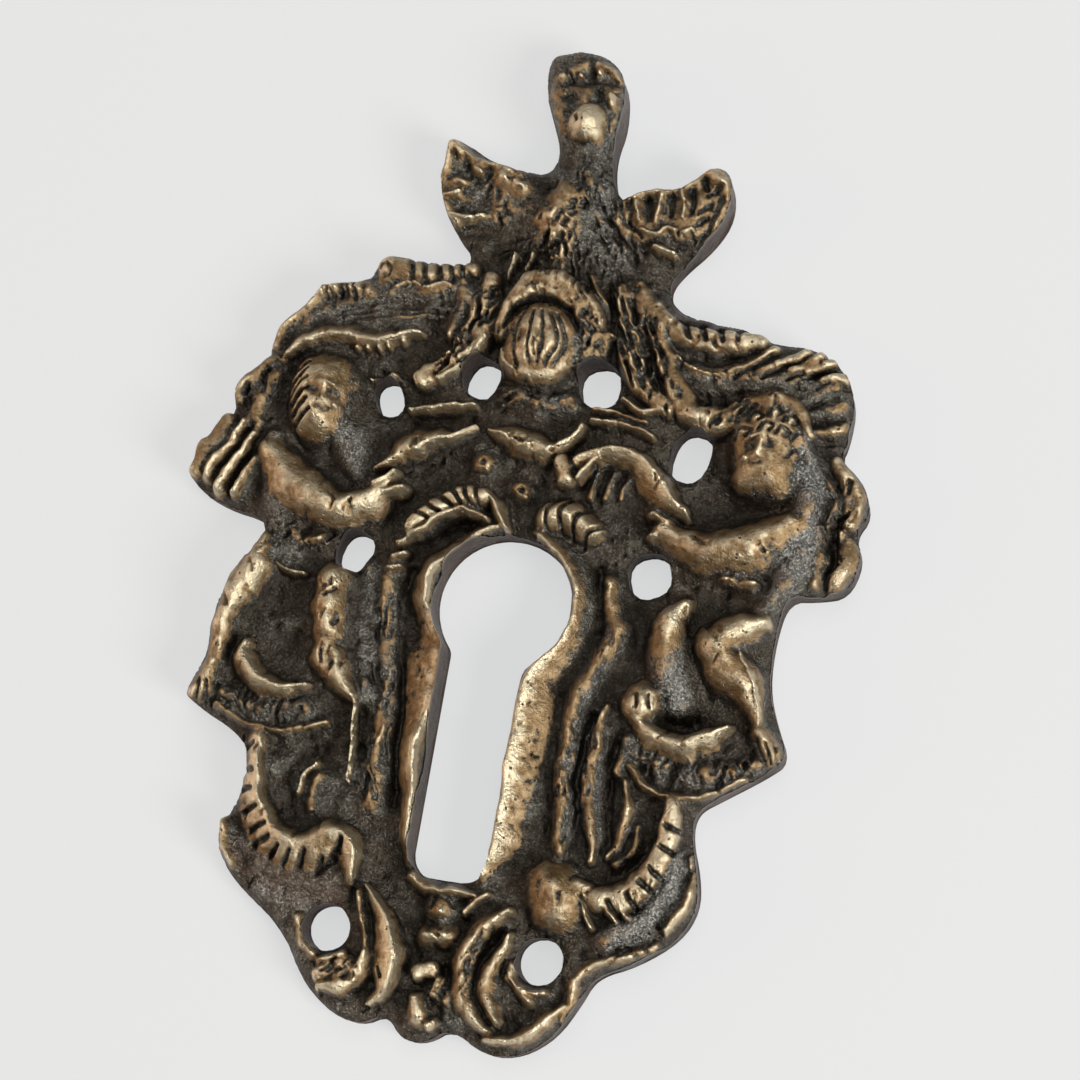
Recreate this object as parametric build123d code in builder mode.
from build123d import *
import os

os.makedirs("parts", exist_ok=True)

# A keyhole escutcheon for a cabinet door or drawer: one pierced brass casting with a carved face.
# It lies flat on its back. The origin is on the back plane at the key's axis, X points right,
# Y points up towards the bird and Z points out of the face. Sizes are in millimetres and degrees.

# Plate
ground = 2.6            # thickness of the plain ground between the carvings
root = 0.9              # depth to which every carving runs into the ground
corner_cuts = 2         # how often the corners of an outline are cut off to round it
cut_share = 0.25        # share of the runs beside a corner that each cut takes off

# Facets across the three kinds of carving: an edged ridge, a flat-topped band and a rounded limb
ridge_facets = 2
band_facets = 3
limb_facets = 4

# Keyhole, with a raised lip all round it
keyhole_radius = 6.15
keyhole_middle = (-0.55, 0.2)
slot_width = 7.2
slot_middle = -1.3
slot_length = 24.6
slot_corner = 2.3
neck_round = 1.4
lip_width = 2.3
lip_rise = 2.3
lip_slope = 32

# Two pin holes in a row below the keyhole
pin_hole_radius = 2.05
pin_spacing = 18.8
pin_row_middle = (-1.45, -29.9)

# How far each kind of carving stands above the ground
thread_rise = 1.3
leaf_rise = 2.0
scroll_rise = 2.7
limb_rise = 3.5
bird_rise = 3.4
head_rise = 4.4
beak_rise = 4.9
boss_rise = 5.0

# Corners of the plate's outline before they are rounded, from the bird's head round by the right
outline = [
    # head and neck
    (-3.8, 51.3), (0.1, 51.3), (2.2, 49.6), (2.8, 45.6), (2.2, 42.4), (2.7, 39.4), (3.8, 37.8),
    # right wing
    (4.6, 38.5), (7.0, 39.5), (9.2, 39.6), (11.5, 42.1), (13.2, 41.4), (13.8, 38.2), (12.5, 35.2),
    (9.9, 32.2), (9.1, 30.4), (10.1, 28.6),
    # right leaf and its feathers
    (12.5, 27.8), (16.9, 27.7), (18.9, 26.3), (22.2, 26.6), (25.4, 25.0), (27.1, 22.4), (27.0, 18.6),
    (26.4, 16.8), (28.7, 15.2), (29.9, 12.5), (28.7, 10.4), (29.8, 8.4), (28.9, 5.2), (26.4, 4.5),
    # right figure's side and foot
    (23.9, 4.2), (23.3, 0.7), (23.4, -3.6), (24.6, -6.8), (26.1, -9.7), (24.4, -11.3), (20.8, -13.9),
    # lower right scrolls
    (19.0, -15.2), (18.9, -17.4), (20.1, -20.6), (20.5, -23.4), (19.3, -26.2), (16.0, -28.9), (12.7, -30.4),
    (11.8, -32.8), (10.2, -35.9), (7.6, -38.0), (4.6, -38.5), (1.3, -36.6),
    # bottom drop and lower left scrolls
    (-0.7, -38.2), (-2.8, -38.3), (-4.5, -36.3), (-6.8, -37.7), (-9.8, -36.8), (-12.6, -34.4), (-14.7, -30.8),
    (-19.5, -27.6), (-21.8, -25.2), (-21.9, -21.8), (-20.6, -19.2), (-20.8, -15.9),
    # left figure's foot and side
    (-22.4, -14.2), (-26.4, -12.5), (-27.5, -11.0), (-26.3, -8.4), (-26.5, -3.4), (-25.2, 0.4), (-22.8, 3.8),
    # left feathers and leaf
    (-23.7, 5.2), (-27.5, 5.8), (-30.7, 7.3), (-31.0, 9.9), (-29.1, 13.6), (-27.7, 14.8), (-28.3, 17.2),
    (-25.6, 19.3), (-25.2, 22.9), (-22.7, 25.0), (-22.0, 27.5), (-17.9, 27.6), (-17.4, 30.3), (-13.0, 29.9),
    (-9.4, 29.9),
    # left wing
    (-8.8, 31.4), (-11.4, 33.9), (-12.8, 37.4), (-13.2, 41.4), (-11.9, 42.3), (-8.4, 40.4), (-4.6, 39.7),
    # back to the head
    (-2.9, 39.8), (-2.4, 41.8), (-3.6, 44.6), (-4.8, 47.4), (-5.1, 50.5),
]

# Small uneven openings pierced between the carvings: middle, width and height, and lean
piercings = [
    ((-6.0, 20.2), (3.2, 3.6), -20),
    ((4.6, 20.8), (3.7, 4.1), 15),
    ((-14.1, 17.4), (2.6, 3.6), 25),
    ((13.6, 15.4), (3.4, 4.8), -10),
    ((-14.6, 3.1), (3.2, 3.8), -15),
    ((11.8, 4.4), (3.8, 4.1), 20),
]


def rounded(corners):
    """A closed outline whose corners are cut off, and cut again, until it looks round."""
    points = [Vector(*corner) for corner in corners]
    ends_of_run = (cut_share, 1 - cut_share)
    for _ in range(corner_cuts):
        runs = list(zip(points, points[1:] + points[:1]))
        points = [start + (end - start) * share for start, end in runs for share in ends_of_run]
    return points


def box_corners(width, height):
    """Corners of a plain box round the origin."""
    return [(x * width / 2, y * height / 2) for x, y in ((-1, -1), (1, -1), (1, 1), (-1, 1))]


def crest(half_width, height, facets):
    """Outline of a carving's section, standing on its root: half an ellipse in plain facets."""
    turns = [Vector(1, 0).rotate(Axis.Z, 180 * facet / facets) for facet in range(facets + 1)]
    Polyline(*[(half_width * turn.X, height * turn.Y) for turn in turns], close=True)


def along(values, share):
    """Value at a share of the way along a short row of values."""
    place = share * (len(values) - 1)
    before = min(int(place), len(values) - 2)
    return values[before] + (place - before) * (values[before + 1] - values[before])


def stroke(path, half_widths, rise, facets=band_facets, rise_shares=(0.55, 1, 0.55)):
    """A carved stroke: sections stood across a curved path and joined from end to end."""
    with BuildLine() as spine:
        Spline(*path)
    stations = max(len(path), len(half_widths))
    with BuildPart() as carving:
        for station in range(stations):
            share = station / (stations - 1)
            point = spine.line @ share
            heading = spine.line % share
            across = Plane(
                (point.X, point.Y, ground - root),
                x_dir=(-heading.Y, heading.X, 0),
                z_dir=heading,
            )
            with BuildSketch(across):
                with BuildLine():
                    crest(along(half_widths, share), root + rise * along(rise_shares, share), facets)
                make_face()
        loft(ruled=True)
    return carving.part


def ridge(path, half_width, rise):
    """A narrow chased ridge that fades towards both ends."""
    return stroke(path, (0.5 * half_width, half_width, 0.5 * half_width), rise, ridge_facets)


def egg(middle, half_length, half_width, rise, lean=0):
    """A long mound lying in the plate's plane, leant from Y towards -X."""
    ends = 0.97
    axis = Vector(0, half_length * ends).rotate(Axis.Z, lean)
    path = [Vector(*middle) - axis, Vector(*middle), Vector(*middle) + axis]
    swell = (0.25, 0.85, 1, 0.85, 0.25)
    widths = [half_width * share for share in swell]
    return stroke(path, widths, rise, limb_facets, swell)


def dome(middle, radius, rise):
    """A round mound."""
    return egg(middle, radius, radius, rise)


carvings = []

# Bird at the top: head, beak, neck, breast and two spread wings
carvings += [
    egg((-0.7, 47.0), 3.7, 3.2, bird_rise, 0),
    dome((0.5, 45.0), 1.5, beak_rise),
    stroke([(-0.1, 43.4), (0.0, 39.6), (-0.1, 35.5), (-0.2, 31.4)], (1.8, 1.9, 5.0, 7.2), bird_rise,
           limb_facets, (0.8, 0.9, 0.85, 0.4)),
    egg((-1.2, 35.1), 2.6, 1.7, bird_rise + 0.5, 0),
    stroke([(-5.0, 36.2), (-8.0, 36.6), (-11.0, 38.3)], (2.2, 2.8, 1.9), thread_rise),
    ridge([(-3.6, 37.8), (-7.0, 38.4), (-9.9, 39.2), (-11.6, 40.1)], 0.8, leaf_rise),
    ridge([(-11.9, 40.2), (-11.5, 37.0), (-10.0, 33.9)], 0.8, leaf_rise),
    stroke([(4.8, 35.6), (8.5, 36.0), (11.4, 37.4)], (1.8, 2.8, 1.8), thread_rise),
    ridge([(4.6, 37.4), (7.0, 38.2), (9.4, 38.6), (11.8, 40.5)], 0.9, leaf_rise),
    ridge([(12.0, 40.0), (12.3, 37.6), (11.1, 34.8), (9.4, 32.6)], 0.8, leaf_rise),
]

# Ribbed boss in the middle of the leaves, with its hood, lip and cup
boss_middle = (-0.6, 23.8)
boss_ribs = 3
boss_rib_pitch = 1.9
for rib in range(boss_ribs):
    offset_x = (rib - (boss_ribs - 1) / 2) * boss_rib_pitch
    carvings.append(egg((boss_middle[0] + offset_x, boss_middle[1]), 2.6, 1.4, boss_rise, 0))
carvings += [
    stroke([(-4.8, 24.4), (-3.8, 27.2), (-0.9, 28.9), (1.2, 28.1), (2.4, 26.1)], (0.8, 1.3, 1.4, 1.2, 0.7),
           limb_rise),
    ridge([(2.3, 26.2), (3.5, 25.1), (5.6, 24.7)], 0.6, leaf_rise),
    stroke([(-4.5, 22.2), (-2.6, 20.6), (-0.4, 20.2), (1.6, 20.9)], (0.5, 0.8, 0.8, 0.5), scroll_rise),
    stroke([(-3.1, 18.4), (-0.3, 18.0), (2.4, 18.4)], (1.3, 1.6, 1.2), leaf_rise),
    stroke([(-4.3, 16.0), (-1.8, 14.7), (0.7, 14.4), (3.5, 16.6)], (0.5, 1.2, 1.2, 0.5), scroll_rise),
]

# Left leaf: a broad leaf with two lobes along the top, a lower ridge, feathers and a hanging curl
carvings += [
    stroke([(-9.4, 28.6), (-13.0, 28.4), (-16.0, 28.2)], (0.7, 1.0, 0.8), leaf_rise),
    stroke([(-16.8, 26.1), (-19.2, 26.1), (-21.1, 25.6)], (0.8, 0.9, 0.6), leaf_rise),
    stroke([(-7.3, 27.0), (-12.0, 26.4), (-17.0, 25.0), (-21.8, 23.2)], (2.2, 2.7, 2.8, 1.5), leaf_rise),
    ridge([(-23.2, 20.4), (-20.8, 21.6), (-18.3, 21.8), (-14.8, 21.6), (-12.3, 22.3)], 0.6, scroll_rise),
    stroke([(-23.6, 19.6), (-25.5, 16.9), (-25.4, 13.6)], (0.6, 1.0, 0.8), leaf_rise),
    ridge([(-28.9, 8.2), (-28.6, 10.0), (-27.2, 12.2)], 0.7, scroll_rise),
    ridge([(-27.2, 6.9), (-26.6, 8.6), (-25.4, 10.4)], 0.7, scroll_rise),
    stroke([(-7.0, 28.4), (-6.0, 25.0), (-7.0, 21.8), (-9.2, 19.5), (-10.8, 19.4)], (0.6, 1.1, 1.1, 0.9, 0.7),
           scroll_rise),
]

# Right leaf: a broad leaf with a ridge along the top, a scalloped lower edge, feathers and a fold
carvings += [
    stroke([(6.8, 29.0), (9.5, 25.8), (13.0, 23.4), (18.0, 22.4), (22.0, 22.2), (24.8, 20.4)],
           (1.8, 2.3, 2.7, 2.6, 2.4, 1.6), leaf_rise),
    stroke([(9.5, 25.4), (13.9, 24.9), (18.1, 26.2)], (0.7, 1.0, 0.6), scroll_rise),
    stroke([(11.0, 20.7), (13.8, 19.0), (16.6, 18.6), (19.4, 20.4), (23.2, 19.3)],
           (0.5, 0.8, 0.8, 0.8, 0.5), scroll_rise),
    ridge([(27.0, 14.6), (28.1, 12.8), (26.9, 10.6)], 0.8, leaf_rise),
    ridge([(28.2, 9.6), (28.3, 7.4), (26.9, 5.8)], 0.8, leaf_rise),
    ridge([(7.2, 27.0), (8.2, 22.4), (10.3, 18.4)], 0.9, leaf_rise),
]

# Two child figures: bodies, heads, outstretched arms and legs
carvings += [
    stroke([(-23.2, 11.8), (-22.6, 8.2), (-21.6, 5.2), (-20.5, 2.5)], (1.1, 1.6, 1.5, 1.6), leaf_rise),
    stroke([(-17.9, 14.0), (-16.5, 12.0), (-15.1, 10.2)], (1.8, 2.2, 1.6), thread_rise),
    stroke([(23.6, 17.4), (24.3, 14.2), (24.5, 10.6), (24.1, 7.0), (22.8, 3.4)], (1.1, 1.5, 1.7, 1.7, 0.7),
           leaf_rise),
    egg((-19.7, 16.2), 4.0, 2.9, head_rise, 0),
    egg((20.9, 15.8), 3.6, 3.1, head_rise, 0),
    stroke([(-22.4, 10.2), (-19.2, 8.0), (-15.0, 7.6), (-11.6, 8.9)], (1.4, 2.0, 1.8, 0.8),
           limb_rise, limb_facets),
    stroke([(23.4, 10.4), (20.2, 8.6), (16.4, 7.5), (12.1, 8.4)], (1.2, 2.0, 1.7, 0.9),
           limb_rise, limb_facets),
    stroke([(-22.4, 2.2), (-24.0, -2.2), (-24.8, -7.0), (-25.3, -10.8)],
           (1.1, 1.6, 1.1, 0.9), limb_rise, limb_facets),
    stroke([(-16.3, 0.6), (-15.9, -2.6), (-15.1, -6.0), (-13.9, -9.6)], (1.5, 1.8, 1.2, 1.1),
           limb_rise, limb_facets),
    stroke([(15.0, 2.0), (14.3, -1.2), (14.9, -5.2)], (0.9, 1.6, 1.1), limb_rise, limb_facets),
    stroke([(20.7, 1.6), (20.0, -1.2), (21.2, -3.8), (22.9, -6.8)], (1.4, 2.2, 1.4, 0.6),
           limb_rise, limb_facets),
    dome((23.7, -8.9), 0.9, leaf_rise),
]

# Crescents and rocks under the figures' feet
carvings += [
    stroke([(-22.5, -7.0), (-21.3, -8.8), (-19.0, -9.4), (-16.9, -9.2)], (0.8, 1.2, 1.1, 0.6), scroll_rise),
    stroke([(12.2, -8.2), (15.0, -9.9), (17.8, -9.9), (20.7, -8.2)], (0.8, 1.2, 1.2, 0.7), scroll_rise),
    dome((13.0, -7.0), 1.6, limb_rise),
    stroke([(-23.4, -11.4), (-20.0, -12.0), (-16.2, -11.7)], (0.9, 1.4, 1.3), thread_rise),
    stroke([(13.4, -11.2), (16.7, -12.2), (20.0, -12.2), (22.6, -11.0)], (1.1, 1.4, 1.4, 0.8), thread_rise),
]

# Scrolls between the leaves and the keyhole's arch
carvings += [
    stroke([(-13.8, 11.4), (-12.3, 13.7), (-10.2, 14.6), (-7.6, 14.5)], (0.5, 1.2, 1.3, 0.7), scroll_rise),
    stroke([(4.8, 14.5), (8.8, 14.3), (11.0, 12.8), (13.6, 10.6)], (0.7, 1.3, 1.4, 0.7), scroll_rise),
    ridge([(-11.4, 16.3), (-8.6, 16.6), (-5.8, 16.8)], 0.5, leaf_rise),
    ridge([(4.7, 16.9), (7.7, 16.8), (10.4, 16.1)], 0.5, leaf_rise),
    stroke([(-9.3, 6.6), (-7.4, 8.7), (-4.8, 9.3), (-2.2, 8.9)], (0.8, 1.2, 1.2, 0.7), scroll_rise),
    ridge([(2.2, 9.6), (3.4, 9.0), (4.0, 7.4)], 0.7, scroll_rise),
    ridge([(4.4, 9.8), (5.6, 9.0), (6.2, 7.2)], 0.7, scroll_rise),
    ridge([(3.0, 11.0), (4.4, 12.2), (5.6, 14.2)], 0.6, leaf_rise),
]

# A low swell that widens the lip at the right, and long ridges that run down beside both sides
carvings += [
    stroke([(3.6, 6.0), (5.5, 4.3), (6.7, 0.5), (5.3, -3.9), (4.3, -9.0), (4.2, -15.0), (4.0, -20.6)],
           (0.8, 1.0, 1.2, 1.9, 1.8, 1.7, 1.4), thread_rise, rise_shares=(0.8, 1, 0.8)),
    ridge([(-10.4, 2.5), (-10.7, -1.1), (-9.2, -9.0), (-8.8, -19.0)], 0.9, thread_rise),
    ridge([(9.1, 2.8), (9.9, -1.4), (8.0, -6.0), (7.4, -12.0), (8.2, -19.4)], 0.9, leaf_rise),
    stroke([(10.4, -7.7), (10.0, -13.0), (11.0, -19.6)], (0.5, 1.2, 0.7), thread_rise),
]

# Ribbed scrolls below the figures: a raised band, then short ribs across it
left_band = [(-19.0, -16.2), (-18.4, -19.5), (-17.0, -22.4), (-14.4, -23.7), (-11.0, -23.0)]
right_band = [(17.2, -16.4), (16.6, -19.4), (15.0, -22.6), (12.4, -24.9), (10.0, -25.2)]
band_ribs = 4
rib_reach = 1.3
for band in (left_band, right_band):
    carvings.append(stroke(band, (0.8, 1.3, 1.5, 1.5, 1.1), leaf_rise, rise_shares=(0.8, 1, 0.8)))
    with BuildLine() as spine:
        Spline(*band)
    for rib in range(band_ribs):
        share = (rib + 0.5) / band_ribs
        point = spine.line @ share
        side = (spine.line % share).rotate(Axis.Z, 90) * rib_reach
        carvings.append(ridge([point - side, point + side], 0.45, scroll_rise))
carvings.append(egg((8.3, -24.4), 2.7, 2.1, limb_rise, 0))

# Crescents, drops and buds along the bottom
carvings += [
    stroke([(-8.0, -26.2), (-5.9, -29.0), (-5.0, -32.2), (-5.4, -35.3)], (0.5, 1.2, 1.3, 0.6), scroll_rise),
    ridge([(-6.6, -31.4), (-7.4, -33.2), (-10.4, -34.9)], 0.7, leaf_rise),
    stroke([(4.8, -26.4), (2.6, -29.0), (2.0, -32.4), (4.4, -36.3)], (0.5, 1.0, 1.1, 0.5), scroll_rise),
    stroke([(5.3, -28.4), (4.5, -31.0), (5.0, -33.6), (5.9, -35.1)], (0.4, 0.6, 0.8, 0.4), scroll_rise),
    ridge([(5.4, -36.5), (8.2, -35.6), (10.0, -33.6), (10.9, -31.4)], 0.7, leaf_rise),
    stroke([(18.1, -19.2), (18.0, -22.5), (16.4, -25.4), (13.7, -27.3)], (0.9, 1.3, 1.5, 1.2), thread_rise),
    stroke([(-19.2, -24.3), (-16.7, -25.7), (-13.3, -26.5), (-10.8, -26.2)], (1.0, 1.5, 1.6, 1.1),
           thread_rise),
    dome((-1.1, -29.1), 1.3, leaf_rise),
    egg((-1.1, -32.4), 1.1, 0.9, leaf_rise, 0),
    egg((-1.7, -35.4), 1.4, 0.9, leaf_rise, 15),
]

# The keyhole: a round for the barrel of the key, with a slot for its bit
with BuildSketch() as keyhole:
    with Locations(keyhole_middle):
        Circle(keyhole_radius)
    with Locations((slot_middle, keyhole_middle[1])):
        Rectangle(slot_width, slot_length, align=(Align.CENTER, Align.MAX))
    corners = keyhole.vertices().group_by(Axis.Y)
    fillet(corners[0], slot_corner)
    neck = [corner for corner in keyhole.vertices() if abs(corner.Y - keyhole_middle[1]) < keyhole_radius]
    fillet(neck, neck_round)

# The casting: the plate, the lip and the carvings together, then everything that is pierced through
with BuildPart() as escutcheon:
    with BuildSketch():
        Polygon(*rounded(outline), align=None)
    extrude(amount=ground)
    with BuildSketch(Plane.XY.offset(ground - root)):
        add(keyhole.sketch)
        offset(amount=lip_width)
    extrude(amount=root + lip_rise, taper=lip_slope)
    add(carvings)
    with BuildSketch():
        add(keyhole.sketch)
        with Locations(pin_row_middle):
            with GridLocations(pin_spacing, 1, 2, 1):
                Circle(pin_hole_radius)
        for middle, size, lean in piercings:
            with Locations(middle):
                Polygon(*rounded(box_corners(*size)), rotation=lean)
    extrude(until=Until.LAST, mode=Mode.SUBTRACT)

escutcheon.part.label = "escutcheon"
export_step(escutcheon.part, "parts/escutcheon.step")
